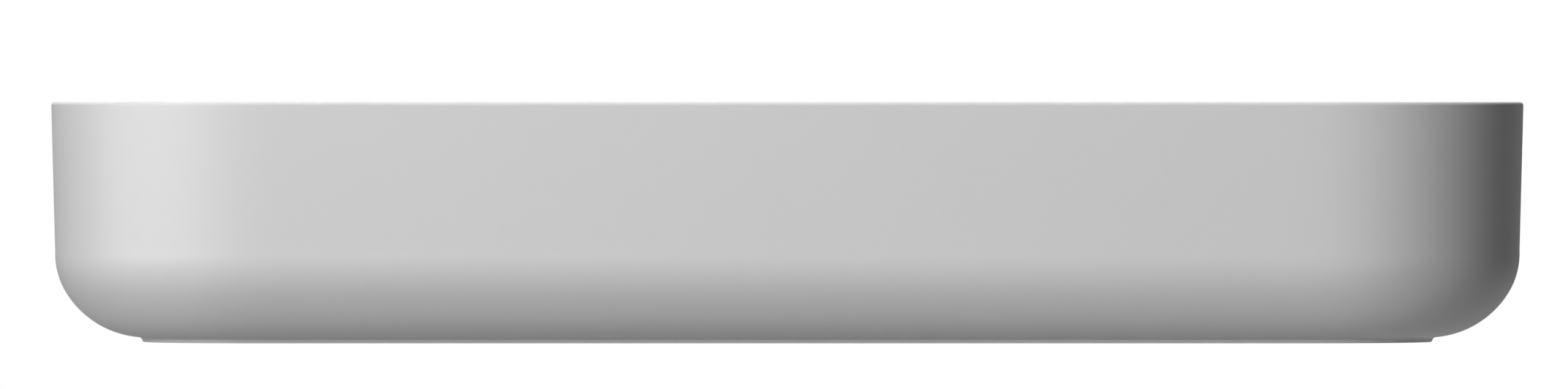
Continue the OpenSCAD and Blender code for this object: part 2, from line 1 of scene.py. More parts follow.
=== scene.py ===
"""Looks of a wall-hung basin: one long glazed moulding, its push-to-open waste, its overflow trim and its
two wall fixings. Metres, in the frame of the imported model: +X right, +Y into the wall, +Z up."""
import math

import bmesh
import bpy
from mathutils import Matrix, Vector


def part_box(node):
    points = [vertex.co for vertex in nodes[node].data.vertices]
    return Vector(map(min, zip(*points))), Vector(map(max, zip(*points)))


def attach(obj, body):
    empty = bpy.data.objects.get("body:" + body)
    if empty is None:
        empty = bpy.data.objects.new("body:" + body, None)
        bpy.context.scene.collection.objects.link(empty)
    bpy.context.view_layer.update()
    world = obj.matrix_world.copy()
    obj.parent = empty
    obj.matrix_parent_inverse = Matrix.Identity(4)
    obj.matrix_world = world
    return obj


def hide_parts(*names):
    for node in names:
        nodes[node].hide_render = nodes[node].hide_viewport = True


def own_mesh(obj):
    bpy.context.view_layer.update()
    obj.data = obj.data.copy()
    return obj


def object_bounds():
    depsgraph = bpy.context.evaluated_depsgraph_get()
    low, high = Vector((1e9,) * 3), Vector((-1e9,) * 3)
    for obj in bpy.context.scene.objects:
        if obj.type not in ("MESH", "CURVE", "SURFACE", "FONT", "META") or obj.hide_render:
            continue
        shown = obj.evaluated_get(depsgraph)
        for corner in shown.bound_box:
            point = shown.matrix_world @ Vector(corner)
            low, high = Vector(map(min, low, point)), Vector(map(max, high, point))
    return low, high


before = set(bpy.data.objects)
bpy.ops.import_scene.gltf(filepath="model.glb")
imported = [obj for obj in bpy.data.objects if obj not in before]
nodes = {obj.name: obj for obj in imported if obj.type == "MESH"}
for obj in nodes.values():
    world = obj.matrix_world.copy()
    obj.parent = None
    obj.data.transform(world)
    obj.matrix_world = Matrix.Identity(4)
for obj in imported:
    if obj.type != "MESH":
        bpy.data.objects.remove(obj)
cad_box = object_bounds()

# The photograph's frame and the rim's place in it, in pixels. The rim's ends are set so that the rendered
# outline falls on the photographed one.
PHOTO_W, PHOTO_H = 2147, 532
RIM_LEFT, RIM_RIGHT, RIM_ROW = 69.5, 2086.8, 139.5

# Camera: level with the rim, with a long lens, at a guessed distance. The outline's sides lie behind the
# front.
CAMERA_DISTANCE = 11.0
SIDE_DEPTH = 0.137
SENSOR_W = 0.036

# Studio. A lamp has its azimuth from the front towards +X, elevation, distance, size and light at the
# object.
FLOOR_DROP = 0.686
FLOOR_SIZE = 40.0
FLOOR_COLOUR = (0.42, 0.42, 0.42, 1)
FLOOR_LIFT = 0.75
FILL_STRENGTH = 0.002
LAMPS = {
    "front_softbox": (-30, 13, 20.0, 8.0, 1.66),
    "near_softbox": (-30, 45, 2.4, 0.9, 0.86),
    "overhead_softbox": (0, 90, 4.0, 1.2, 1.00),
    "back_softbox": (180, 30, 6.0, 3.0, 1.00),
}
GLOSS_CARDS = {
    "side_card": (-60, 0, 5.0, 5.2, 6.2),
    "corner_card": (-20, 0, 5.0, 3.0, 0.8),
    "rim_card": (0, 20, 7.0, 1.5, 0.25),
}

# The moulding. The belly's arcs are fitted to the photographed outline as this camera shows it, and the
# hollow's mouth lies inward of the cove's centre.
BASIN_W, BASIN_D, BASIN_H = 1.000, 0.480, 0.1625
CORNER_R, CORNER_EASING = 0.134, 0.056
BACK_EDGE_R = 0.0072
BACK_TOP_R = 0.0012
WALL_DRAFT = 1.49
CREASE_H, CREASE_TURN = 0.0615, 1.9
BELLY_TOP_R, BELLY_R, BELLY_JOIN_TURN = 0.0507, 0.0636, 31.7
FOOT_EDGE_R = 0.0006
COVE_OUT, COVE_TO_MOUTH = 0.0055, 0.0170
RIM_R = 0.0024
SHELL_T, BACK_T = 0.012, 0.014
RIM_W = 0.013
DECK_D, DECK_T = 0.110, 0.014
BOWL_DEPTH = 0.0965
BOWL_DRAFT = 4.0
BOWL_BACK_R = 0.084
BOWL_FILLET_R = 0.045
BOWL_EDGE_R = 0.003
DISH_R, DISH_DROP = 0.115, 0.003
SEAT_R, SEAT_DROP, SEAT_LIP_R = 0.035, 0.005, 0.001
WASTE_HOLE_R = 0.023
BOSS_R, BOSS_H = 0.040, 0.022
OVERFLOW_R, OVERFLOW_DROP = 0.012, 0.0305
DUCT_W, DUCT_D, DUCT_H, DUCT_T = 0.044, 0.014, 0.009, 0.008
DUCT_LAP, DUCT_HEADROOM, DUCT_REACH = 0.001, 0.016, 0.025
TAP_R, TAP_BACK = 0.0175, 0.050
FIXING_SPAN, FIXING_R = 0.280, 0.014
LIP_R = 0.0015
SEAT_FACE_R, FIXING_FACE_R = 0.036, 0.019

# Threads: major radius, pitch and depth, where the bolts' two threads start, and by what share of its depth
# a cutter stands out of the metal
WASTE_THREAD = (0.02095, 0.002309, 0.0012)
WALL_THREAD = (0.005, 0.0036, 0.0013)
NUT_THREAD = (0.005, 0.0015, 0.0008)
WALL_THREAD_START, NUT_THREAD_START = 0.001, -0.004
GROOVE_OVERSHOOT = 0.25

# Return spring: middle radius of its coil, wire radius, turns and the plug's travel
COIL_R, WIRE_R, COIL_TURNS = 0.0055, 0.0006, 4.5

# The glaze, and the clay where it is left bare: in metres above the ground and before the wall
GLAZE_COLOUR, GLAZE_SHADE = (0.803, 0.803, 0.803), (0.797, 0.797, 0.796)
GLAZE_ROUGHNESS = (0.46, 0.54)
GLAZE_COAT, GLAZE_COAT_ROUGHNESS = 0.2, 0.36
GLAZE_GRAIN = {"Scale": 14.0, "Depth": 0.00003}
BISCUIT_COLOUR = (0.74, 0.72, 0.67)
BISCUIT_ROUGHER = 0.35
BARE_ABOVE_GROUND = (0.0003, 0.0009)
BARE_BEFORE_WALL = (-0.0016, -0.0008)
BARE_EDGE_SCALE, BARE_EDGE_WANDER = 420.0, 0.0008

# Shared effects: how much finer the small patches are, the share of each kind, and how tool marks wander
FINE_PATCHES = 7.0
BROAD_SHARE, FINE_SHARE = 0.65, 0.35
MARK_WANDER_SCALE, MARK_WANDER = 260.0, 1.6

# How finely everything is built
CORNER_STEPS, BACK_STEPS, STRAIGHT_STEPS = 48, 8, 6
CORNER_SUBSTEPS = 20
FOOT_EDGE_STEPS, COVE_STEPS, BELLY_STEPS, BELLY_TOP_STEPS = 4, 14, 40, 34
HOLLOW_BELLY_STEPS, HOLLOW_TOP_STEPS = 16, 8
RIM_STEPS, WALL_STEPS, FILLET_STEPS = 12, 5, 40
DISH_STEPS, SEAT_LIP_STEPS, LIP_STEPS = 24, 6, 8
ROUND_STEPS = 128
CAST_GRID = 0.005
CAST_SMOOTHING = 10
THREAD_SIDES, THREAD_STEPS = 3, 72
WIRE_SIDES, WIRE_STEPS = 12, 40
SHARP_ANGLE, WIRE_SHARP_ANGLE = 32, 50
CUT_WELD, WOUND_WELD = 1e-6, 1e-7

OVER = 0.005
LAP = 0.00001

# Places that follow from the sizes
foot_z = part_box("basin_body")[0].z
rim_z = foot_z + BASIN_H
crease_z = foot_z + CREASE_H
floor_z = rim_z - BOWL_DEPTH
seat_z = floor_z - DISH_DROP - SEAT_DROP
boss_z = seat_z - BOSS_H
overflow_z = rim_z - OVERFLOW_DROP
bowl_front_y = RIM_W - BASIN_D
bowl_back_y = -DECK_D
waste_y = (bowl_front_y + bowl_back_y) / 2
overflow_y = bowl_back_y - OVERFLOW_DROP * math.tan(math.radians(BOWL_DRAFT))
duct_front = overflow_y + SHELL_T
duct_back = duct_front + DUCT_D
duct_top = floor_z - SHELL_T + DUCT_LAP
duct_bottom = duct_top - DUCT_H


# Camera and studio

def calculate(tree, operation, first, second=None):
    """A math node on outputs or numbers."""
    node = tree.nodes.new("ShaderNodeMath")
    node.operation = operation
    for socket, value in zip(node.inputs, (first, second)):
        if isinstance(value, bpy.types.NodeSocket):
            tree.links.new(value, socket)
        elif value is not None:
            socket.default_value = value
    return node.outputs[0]


def seen(tree):
    """1 for what the eye, gloss or clear glass looks at, 0 for light that falls on the object."""
    path = tree.nodes.new("ShaderNodeLightPath")
    clear = calculate(tree, "MAXIMUM", path.outputs["Is Glossy Ray"], path.outputs["Is Transmission Ray"])
    return calculate(tree, "MAXIMUM", path.outputs["Is Camera Ray"], clear)


def make_camera():
    """Level with the rim and aimed a little down, with the object where the photograph has it."""
    shape_low, shape_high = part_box("basin_body")
    across = shape_high.x - shape_low.x
    slope_per_pixel = across / (RIM_RIGHT - RIM_LEFT) / (CAMERA_DISTANCE + SIDE_DEPTH)
    sideways = (RIM_LEFT + RIM_RIGHT - PHOTO_W) / 2 * slope_per_pixel
    downward = (PHOTO_H / 2 - RIM_ROW) * slope_per_pixel
    camera = bpy.data.cameras.new("photo_camera")
    camera.sensor_width = SENSOR_W * 1000
    camera.lens = camera.sensor_width / (slope_per_pixel * PHOTO_W)
    camera.clip_end = 10 * CAMERA_DISTANCE
    holder = bpy.data.objects.new("photo_camera", camera)
    holder.location = (-sideways * CAMERA_DISTANCE, shape_low.y - CAMERA_DISTANCE, rim_z)
    holder.rotation_euler = (math.pi / 2 - math.atan(downward), 0, 0)
    bpy.context.scene.collection.objects.link(holder)
    bpy.context.scene.camera = holder


def make_world():
    """White for the eye, for gloss and through glass, and a weak even light on everything."""
    world = bpy.data.worlds.new("studio")
    bpy.context.scene.world = world
    world.use_nodes = True
    tree = world.node_tree
    tree.nodes.clear()
    weak = tree.nodes.new("ShaderNodeBackground")
    white = tree.nodes.new("ShaderNodeBackground")
    mix = tree.nodes.new("ShaderNodeMixShader")
    out = tree.nodes.new("ShaderNodeOutputWorld")
    weak.inputs["Color"].default_value = (1, 1, 1, 1)
    weak.inputs["Strength"].default_value = FILL_STRENGTH
    white.inputs["Color"].default_value = (1, 1, 1, 1)
    white.inputs["Strength"].default_value = 1.0
    link = tree.links.new
    link(seen(tree), mix.inputs["Fac"])
    link(weak.outputs[0], mix.inputs[1])
    link(white.outputs[0], mix.inputs[2])
    link(mix.outputs[0], out.inputs["Surface"])


def make_floor():
    """The floor of the room under the basin. It looks paler to the eye than it lights the object."""
    half = FLOOR_SIZE / 2
    z = cad_box[0][2] - FLOOR_DROP
    mesh = bpy.data.meshes.new("floor")
    corners = [(-half, -half, z), (half, -half, z), (half, half, z), (-half, half, z)]
    mesh.from_pydata(corners, [], [(0, 1, 2, 3)])
    floor = bpy.data.objects.new("floor", mesh)
    bpy.context.scene.collection.objects.link(floor)
    material = bpy.data.materials.new("pale_floor")
    material.use_nodes = True
    tree = material.node_tree
    tree.nodes.clear()
    matt = tree.nodes.new("ShaderNodeBsdfDiffuse")
    matt.inputs["Color"].default_value = FLOOR_COLOUR
    lift = tree.nodes.new("ShaderNodeEmission")
    add = tree.nodes.new("ShaderNodeAddShader")
    out = tree.nodes.new("ShaderNodeOutputMaterial")
    link = tree.links.new
    link(calculate(tree, "MULTIPLY", seen(tree), FLOOR_LIFT), lift.inputs["Strength"])
    link(matt.outputs[0], add.inputs[0])
    link(lift.outputs[0], add.inputs[1])
    link(add.outputs[0], out.inputs["Surface"])
    mesh.materials.append(material)


def make_softbox(name, azimuth, elevation, distance, size, light, only_gloss=False):
    """A round soft lamp that gives that light at the object when it shines on it squarely, or a bright card
    that only shows in the gloss."""
    lamp = bpy.data.lights.new(name, "AREA")
    lamp.shape = "DISK"
    lamp.size = size
    lamp.energy = light * math.pi * distance * distance
    holder = bpy.data.objects.new(name, lamp)
    a, e = math.radians(azimuth), math.radians(elevation)
    towards = Vector((math.sin(a) * math.cos(e), -math.cos(a) * math.cos(e), math.sin(e)))
    holder.location = towards * distance
    holder.rotation_euler = towards.to_track_quat("Z", "Y").to_euler()
    holder.visible_camera = False
    holder.visible_diffuse = not only_gloss
    bpy.context.scene.collection.objects.link(holder)


# Building solids

def make_object(name, mesh):
    piece = bpy.data.objects.new(name, mesh)
    bpy.context.scene.collection.objects.link(piece)
    return piece


def solid(name, verts, faces):
    """An object from points and faces, with its faces turned outward."""
    mesh = bpy.data.meshes.new(name)
    mesh.from_pydata(verts, [], faces)
    shape = bmesh.new()
    shape.from_mesh(mesh)
    bmesh.ops.recalc_face_normals(shape, faces=shape.faces)
    shape.to_mesh(mesh)
    shape.free()
    return make_object(name, mesh)


def loft(name, loops):
    """A closed solid through loops of equal length, with a flat cap at each end."""
    count = len(loops[0])
    verts = [point for loop in loops for point in loop]
    faces = []
    for i in range(len(loops) - 1):
        for k in range(count):
            a, b = i * count + k, i * count + (k + 1) % count
            faces.append((a, b, b + count, a + count))
    faces.append(tuple(range(count)))
    faces.append(tuple(range(len(verts) - count, len(verts))))
    return solid(name, verts, faces)


def arc(cx, cy, radius, start, stop, steps):
    """Points on an arc between two angles in degrees."""
    turns = [math.radians(start + (stop - start) * i / steps) for i in range(steps + 1)]
    return [(cx + radius * math.cos(a), cy + radius * math.sin(a)) for a in turns]


def between(start, stop, steps):
    """Points on a line, without its ends."""
    return [tuple(a + (b - a) * i / steps for a, b in zip(start, stop)) for i in range(1, steps)]


def turned(name, profile, placing=Matrix.Identity(4)):
    """A profile of radius and height turned round the Z axis, then placed."""
    steps = [2 * math.pi * k / ROUND_STEPS for k in range(ROUND_STEPS)]
    loops = [[placing @ Vector((r * math.cos(a), r * math.sin(a), z)) for a in steps] for r, z in profile]
    return loft(name, loops)


def block(name, low, high):
    x, y, z = zip(low, high)
    return loft(name, [[(x[0], y[0], h), (x[1], y[0], h), (x[1], y[1], h), (x[0], y[1], h)] for h in z])


def settle(piece):
    """Turns an object's modifiers into its mesh."""
    graph = bpy.context.evaluated_depsgraph_get()
    mesh = bpy.data.meshes.new_from_object(piece.evaluated_get(graph))
    piece.modifiers.clear()
    piece.data = mesh


def cut(piece, tool):
    """Cuts the tool out of the piece and takes the tool away."""
    change = piece.modifiers.new("cut", "BOOLEAN")
    change.operation = "DIFFERENCE"
    change.solver = "MANIFOLD"
    change.object = tool
    settle(piece)
    bpy.data.objects.remove(tool)


def shade(piece, sharp_angle=SHARP_ANGLE, line_z=None):
    """Smooth shading that keeps edges sharper than an angle, and a fine line at a height, and keeps large
    faces flat."""
    piece.data.shade_smooth()
    piece.data.set_sharp_from_angle(angle=math.radians(sharp_angle))
    if line_z is not None:
        points = piece.data.vertices
        for edge in piece.data.edges:
            if all(abs(points[i].co.z - line_z) < LAP for i in edge.vertices):
                edge.use_edge_sharp = True
    weights = piece.modifiers.new("weights", "WEIGHTED_NORMAL")
    weights.keep_sharp = True
    weights.weight = 100
    settle(piece)


def drawn_copy(name, node):
    """A closed copy of a CAD piece's mesh that can be cut."""
    mesh = nodes[node].data.copy()
    piece = make_object(name, mesh)
    piece.matrix_world = nodes[node].matrix_world.copy()
    bpy.context.view_layer.update()
    mesh.transform(piece.matrix_world)
    piece.matrix_world = Matrix.Identity(4)
    shape = bmesh.new()
    shape.from_mesh(mesh)
    bmesh.ops.remove_doubles(shape, verts=shape.verts, dist=CUT_WELD)
    shape.to_mesh(mesh)
    shape.free()
    return piece


def fit_out(piece, node, body, material):
    """The piece stands for a CAD node on that node's body."""
    piece.data.materials.clear()
    piece.data.materials.append(material)
    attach(piece, body)
    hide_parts(node)


# The moulding's plan and sections. A section is a list of points: how far outside the rim line, and height.

def eased_corner():
    """A front corner at the rim line, from the front to the side: points and outward directions. It turns
    gradually into the straights, and its points count from where the two straights would meet."""
    length = CORNER_R * math.pi / 2 + CORNER_EASING
    steps = CORNER_STEPS * CORNER_SUBSTEPS
    x = y = 0.0
    points = []
    for i in range(steps + 1):
        s = length * i / steps
        eased_in = min(s, CORNER_EASING) ** 2 / (2 * CORNER_EASING) + max(0.0, s - CORNER_EASING)
        eased_out = max(0.0, s - (length - CORNER_EASING)) ** 2 / (2 * CORNER_EASING)
        turn = (eased_in - eased_out) / CORNER_R
        if i % CORNER_SUBSTEPS == 0:
            points.append((x, y, math.sin(turn), -math.cos(turn)))
        x += math.cos(turn) * length / steps
        y += math.sin(turn) * length / steps
    reach = points[-1][0]
    return [(px - reach, py, nx, ny) for px, py, nx, ny in points]


corner = eased_corner()


def plan_loop(out, back_x, back_y, back_r, back_steps):
    """The plan at a distance outside the rim line, with the front corners eased and a straight back. Every
    loop has as many points."""
    right = [(BASIN_W / 2 + x + nx * out, y - BASIN_D + ny * out) for x, y, nx, ny in corner]
    left = [(-x, y) for x, y in reversed(right)]
    back_right = arc(back_x - back_r, back_y - back_r, back_r, 0, 90, back_steps)
    back_left = arc(back_r - back_x, back_y - back_r, back_r, 90, 180, back_steps)
    runs = [right, back_right, back_left, left]
    loop = []
    for here, following in zip(runs, runs[1:] + runs[:1]):
        loop += here + between(here[-1], following[0], STRAIGHT_STEPS)
    return loop


def outer_loop(out, z):
    """The outside at a height. The back stays on the wall and only its top edge is eased."""
    ease = max(0.0, (z - (rim_z - RIM_R)) / RIM_R)
    back_y = -BACK_TOP_R * (1 - math.sqrt(max(0.0, 1 - ease * ease)))
    loop = plan_loop(out, BASIN_W / 2 + out, back_y, max(FOOT_EDGE_R, BACK_EDGE_R + out), BACK_STEPS)
    return [(x, y, z) for x, y in loop]


def bowl_loop(out, z):
    side_x = BASIN_W / 2 - RIM_W + out
    loop = plan_loop(out - RIM_W, side_x, bowl_back_y + out, BOWL_BACK_R + out, CORNER_STEPS)
    return [(x, y, z) for x, y in loop]


def skirt_loop(out, z):
    return [(x, y, z) for x, y in plan_loop(out, BASIN_W / 2 + out, -BACK_T, LIP_R, BACK_STEPS)]


def lean_in(lean, z):
    return (rim_z - z) * math.tan(math.radians(lean))


def belly_centres():
    """Centres of the belly's two arcs. The tight upper one leaves the crease turned a little outward, and
    the wide lower one takes over from it."""
    turn, join = math.radians(CREASE_TURN), math.radians(BELLY_JOIN_TURN)
    top_out = -lean_in(WALL_DRAFT, crease_z) - BELLY_TOP_R * math.cos(turn)
    top_z = crease_z - BELLY_TOP_R * math.sin(turn)
    step = BELLY_R - BELLY_TOP_R
    return top_out, top_z, top_out - step * math.cos(join), top_z + step * math.sin(join)


def belly_arcs(inset, start, stop, lower_steps, upper_steps):
    """The belly from the bottom up, that far inside its outer face."""
    top_out, top_z, belly_out, belly_z = belly_centres()
    lower = arc(belly_out, belly_z, BELLY_R - inset, start, -BELLY_JOIN_TURN, lower_steps)
    upper = arc(top_out, top_z, BELLY_TOP_R - inset, -BELLY_JOIN_TURN, stop, upper_steps)
    return lower + upper[1:]


def outer_section():
    """From the ground foot up: cove, belly, leaning wall and rounded rim."""
    belly_out, belly_z = belly_centres()[2:]
    cove_out = belly_out + COVE_OUT
    cove_r = math.hypot(COVE_OUT, belly_z - foot_z) - BELLY_R
    touch = math.degrees(math.atan2(foot_z - belly_z, COVE_OUT))
    cove_start = 180 - math.degrees(math.asin(FOOT_EDGE_R / cove_r))
    edge_z = rim_z - RIM_R
    edge_out = -lean_in(WALL_DRAFT, edge_z) - RIM_R / math.cos(math.radians(WALL_DRAFT))
    foot = arc(cove_out - cove_r - FOOT_EDGE_R, foot_z + FOOT_EDGE_R, FOOT_EDGE_R, -90, 0, FOOT_EDGE_STEPS)
    cove = arc(cove_out, foot_z, cove_r, cove_start, touch + 180, COVE_STEPS)
    belly = belly_arcs(0, touch, CREASE_TURN, BELLY_STEPS, BELLY_TOP_STEPS)
    rim = arc(edge_out, edge_z, RIM_R, -WALL_DRAFT, 90, RIM_STEPS)
    return foot[:-1] + cove + belly[1:] + between(belly[-1], rim[0], WALL_STEPS) + rim


def skirt_section():
    """The hollow's outside: the mouth inside the foot ring, the inside of the belly and of the wall."""
    belly_out, belly_z = belly_centres()[2:]
    mouth_out = belly_out + COVE_OUT - COVE_TO_MOUTH
    top_z = rim_z - DECK_T
    mouth = [(mouth_out, foot_z - 3 * OVER), (mouth_out, belly_z - BELLY_R + SHELL_T)]
    belly = belly_arcs(SHELL_T, -90, 0, HOLLOW_BELLY_STEPS, HOLLOW_TOP_STEPS)
    return mouth + belly + [(-lean_in(WALL_DRAFT, top_z) - SHELL_T, top_z)]


def tub_section(skin):
    """The bowl's floor, its rounded foot and its wall, or with a skin the outside of these."""
    lean = math.radians(BOWL_DRAFT)
    fillet_z = floor_z + BOWL_FILLET_R
    fillet_out = -lean_in(BOWL_DRAFT, fillet_z) - BOWL_FILLET_R / math.cos(lean)
    fillet = arc(fillet_out, fillet_z, BOWL_FILLET_R + skin, -90, -BOWL_DRAFT, FILLET_STEPS)
    if skin:
        return fillet + [(-lean_in(BOWL_DRAFT, rim_z) + skin / math.cos(lean), rim_z)]
    edge_z = rim_z - BOWL_EDGE_R
    edge_out = -lean_in(BOWL_DRAFT, edge_z) + BOWL_EDGE_R / math.cos(lean)
    edge = arc(edge_out, edge_z, BOWL_EDGE_R + LAP, 180 - BOWL_DRAFT, 90, RIM_STEPS)
    return fillet + between(fillet[-1], edge[0], WALL_STEPS) + edge + [(edge_out, rim_z + OVER)]


def drain_profile():
    """The waste hole, the flange seat with an eased lip, and the dish that runs out into the floor."""
    lip = arc(SEAT_R + SEAT_LIP_R, floor_z - DISH_DROP - SEAT_LIP_R, SEAT_LIP_R, 180, 95, SEAT_LIP_STEPS)
    start_r, start_z = lip[-1]
    fall = floor_z + LAP - start_z
    dish = []
    for i in range(1, DISH_STEPS + 1):
        share = i / DISH_STEPS
        height = start_z + fall * (1 - math.cos(math.pi * share)) / 2
        dish.append((start_r + (DISH_R - start_r) * share, height))
    return ([(WASTE_HOLE_R, boss_z - OVER), (WASTE_HOLE_R, seat_z), (SEAT_R, seat_z)] + lip + dish
            + [(DISH_R, floor_z + OVER)])


def hole_profile(radius, depth):
    """A hole down from height 0 with both lips rounded."""
    top = arc(radius + LIP_R, -LIP_R, LIP_R + LAP, 180, 90, LIP_STEPS)
    bottom = arc(radius + LIP_R, LIP_R - depth, LIP_R + LAP, 270, 180, LIP_STEPS)
    return [(radius + LIP_R, -depth - OVER)] + bottom + top + [(radius + LIP_R, OVER)]


def straight_profile(radius, low, high):
    return [(radius, low), (radius, high)]


def at(x, y, z, turn=0.0):
    """A placing at a point, tipped about X by degrees."""
    return Matrix.Translation((x, y, z)) @ Matrix.Rotation(math.radians(turn), 4, "X")


def cast_hollow():
    """The hollow under the basin, less the bowl, the overflow passage and the waste boss. It is meshed anew
    and smoothed, so that its inner corners run together softly, as in a casting."""
    half = DUCT_W / 2 + DUCT_T
    hollow = loft("cast_hollow", [skirt_loop(out, z) for out, z in skirt_section()])
    cut(hollow, loft("bowl_skin", [bowl_loop(out, z) for out, z in tub_section(SHELL_T)]))
    cut(hollow, block("upright_duct", (-half, bowl_back_y - DUCT_REACH, duct_bottom - DUCT_T),
                      (half, duct_back + DUCT_T, rim_z - DECK_T / 2)))
    cut(hollow, block("level_duct", (-half, waste_y, duct_bottom - DUCT_T),
                      (half, duct_back + DUCT_T, floor_z - SHELL_T / 2)))
    cut(hollow, turned("boss", straight_profile(BOSS_R, boss_z, floor_z), at(0, waste_y, 0)))
    remesh = hollow.modifiers.new("remesh", "REMESH")
    remesh.mode = "VOXEL"
    remesh.voxel_size = CAST_GRID
    smooth = hollow.modifiers.new("smooth", "SMOOTH")
    smooth.factor = 0.5
    smooth.iterations = CAST_SMOOTHING
    settle(hollow)
    return hollow


def glazed_moulding():
    moulding = loft("glazed_moulding", [outer_loop(out, z) for out, z in outer_section()])
    cut(moulding, cast_hollow())
    cut(moulding, loft("bowl", [bowl_loop(out, z) for out, z in tub_section(0)]))
    cut(moulding, turned("drain", drain_profile(), at(0, waste_y, 0)))
    cut(moulding, block("upright_passage", (-DUCT_W / 2, duct_front, duct_bottom),
                        (DUCT_W / 2, duct_back, overflow_z + DUCT_HEADROOM)))
    cut(moulding, block("level_passage", (-DUCT_W / 2, waste_y, duct_bottom),
                        (DUCT_W / 2, duct_back, duct_top)))
    cut(moulding, turned("overflow_hole", straight_profile(OVERFLOW_R, -OVER, SHELL_T + OVER),
                         at(0, overflow_y, overflow_z, -(90 + BOWL_DRAFT))))
    cut(moulding, turned("tap_hole", hole_profile(TAP_R, DECK_T), at(0, -TAP_BACK, rim_z)))
    cut(moulding, turned("boss_face", straight_profile(SEAT_FACE_R, boss_z - 2 * OVER, boss_z),
                         at(0, waste_y, 0)))
    for side in (-1, 1):
        x = side * FIXING_SPAN / 2
        cut(moulding, turned("fixing_face", straight_profile(FIXING_FACE_R, BACK_T, BACK_T + OVER),
                             at(x, 0, 0, 90)))
        cut(moulding, turned("fixing_hole", hole_profile(FIXING_R, BACK_T), at(x, 0, 0, -90)))
    shade(moulding, line_z=crease_z)
    return moulding


# Threads

def wound_group():
    """A section wound along a helix: the cutter for a thread, or the wire of a spring."""
    group = bpy.data.node_groups.new("wound_section", "GeometryNodeTree")
    sockets = [("Radius", "NodeSocketFloat"), ("Pitch", "NodeSocketFloat"), ("Length", "NodeSocketFloat"),
               ("Section Radius", "NodeSocketFloat"), ("Section Sides", "NodeSocketInt"),
               ("Steps per Turn", "NodeSocketInt"), ("Material", "NodeSocketMaterial")]
    for name, kind in sockets:
        group.interface.new_socket(name=name, in_out="INPUT", socket_type=kind)
    group.interface.new_socket(name="Geometry", in_out="OUTPUT", socket_type="NodeSocketGeometry")
    given = group.nodes.new("NodeGroupInput")
    turns = group.nodes.new("ShaderNodeMath")
    turns.operation = "DIVIDE"
    spiral = group.nodes.new("GeometryNodeCurveSpiral")
    upright = group.nodes.new("GeometryNodeSetCurveNormal")
    upright.mode = "Z_UP"
    section = group.nodes.new("GeometryNodeCurvePrimitiveCircle")
    sweep = group.nodes.new("GeometryNodeCurveToMesh")
    sweep.inputs["Fill Caps"].default_value = True
    realize = group.nodes.new("GeometryNodeRealizeInstances")
    finish = group.nodes.new("GeometryNodeSetMaterial")
    result = group.nodes.new("NodeGroupOutput")
    link = group.links.new
    link(given.outputs["Length"], turns.inputs[0])
    link(given.outputs["Pitch"], turns.inputs[1])
    link(given.outputs["Steps per Turn"], spiral.inputs["Resolution"])
    link(turns.outputs[0], spiral.inputs["Rotations"])
    link(given.outputs["Radius"], spiral.inputs["Start Radius"])
    link(given.outputs["Radius"], spiral.inputs["End Radius"])
    link(given.outputs["Length"], spiral.inputs["Height"])
    link(spiral.outputs["Curve"], upright.inputs["Curve"])
    link(given.outputs["Section Sides"], section.inputs["Resolution"])
    link(given.outputs["Section Radius"], section.inputs["Radius"])
    link(upright.outputs["Curve"], sweep.inputs["Curve"])
    link(section.outputs["Curve"], sweep.inputs["Profile Curve"])
    link(sweep.outputs["Mesh"], realize.inputs["Geometry"])
    link(realize.outputs["Geometry"], finish.inputs["Geometry"])
    link(given.outputs["Material"], finish.inputs["Material"])
    link(finish.outputs["Geometry"], result.inputs["Geometry"])
    return group


def wound(name, group, values, placing):
    """An object that the wound section makes from these input values, placed."""
    piece = make_object(name, bpy.data.meshes.new(name))
    modifier = piece.modifiers.new("wound", "NODES")
    modifier.node_group = group
    for item in group.interface.items_tree:
        if item.in_out == "INPUT":
            modifier[item.identifier] = values[item.name]
    settle(piece)
    piece.data.transform(placing)
    shape = bmesh.new()
    shape.from_mesh(piece.data)
    bmesh.ops.remove_doubles(shape, verts=shape.verts, dist=WOUND_WELD)
    bmesh.ops.recalc_face_normals(shape, faces=shape.faces)
    shape.to_mesh(piece.data)
    shape.free()
    return piece


def cut_thread(piece, group, sizes, length, placing, material):
    """Cuts a V groove of that major radius, pitch and depth along an axis that starts at the placing. The
    cutter is a triangle, 1.5 times as high as the radius of the circle round it."""
    radius, pitch, depth = sizes
    overshoot = GROOVE_OVERSHOOT * depth
    section_r = (depth + overshoot) / 1.5
    values = {"Radius": radius + overshoot - section_r / 2, "Pitch": pitch, "Length": length,
              "Section Radius": section_r, "Section Sides": THREAD_SIDES, "Steps per Turn": THREAD_STEPS,
              "Material": material}
    cut(piece, wound("groove", group, values, placing))


def threaded_waste(group, material):
    fitting = drawn_copy("threaded_waste", "waste_body")
    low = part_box("waste_body")[0].z - WASTE_THREAD[1]
    cut_thread(fitting, group, WASTE_THREAD, boss_z + OVER - low, at(0, waste_y, low), material)
    shade(fitting)
    fit_out(fitting, "waste_body", "basin", material)


def threaded_bolts(group, material):
    """Wood thread in the wall and machine thread under the nut, with the plain neck between them."""
    bolts = drawn_copy("threaded_bolts", "hanger_bolts")
    near, far = (end.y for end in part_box("hanger_bolts"))
    for side in (-1, 1):
        x = side * FIXING_SPAN / 2
        cut_thread(bolts, group, WALL_THREAD, far + WALL_THREAD_START, at(x, far, 0, 90), material)
        cut_thread(bolts, group, NUT_THREAD, NUT_THREAD_START - near + NUT_THREAD[1],
                   at(x, NUT_THREAD_START, 0, 90), material)
    shade(bolts)
    fit_out(bolts, "hanger_bolts", "basin", material)


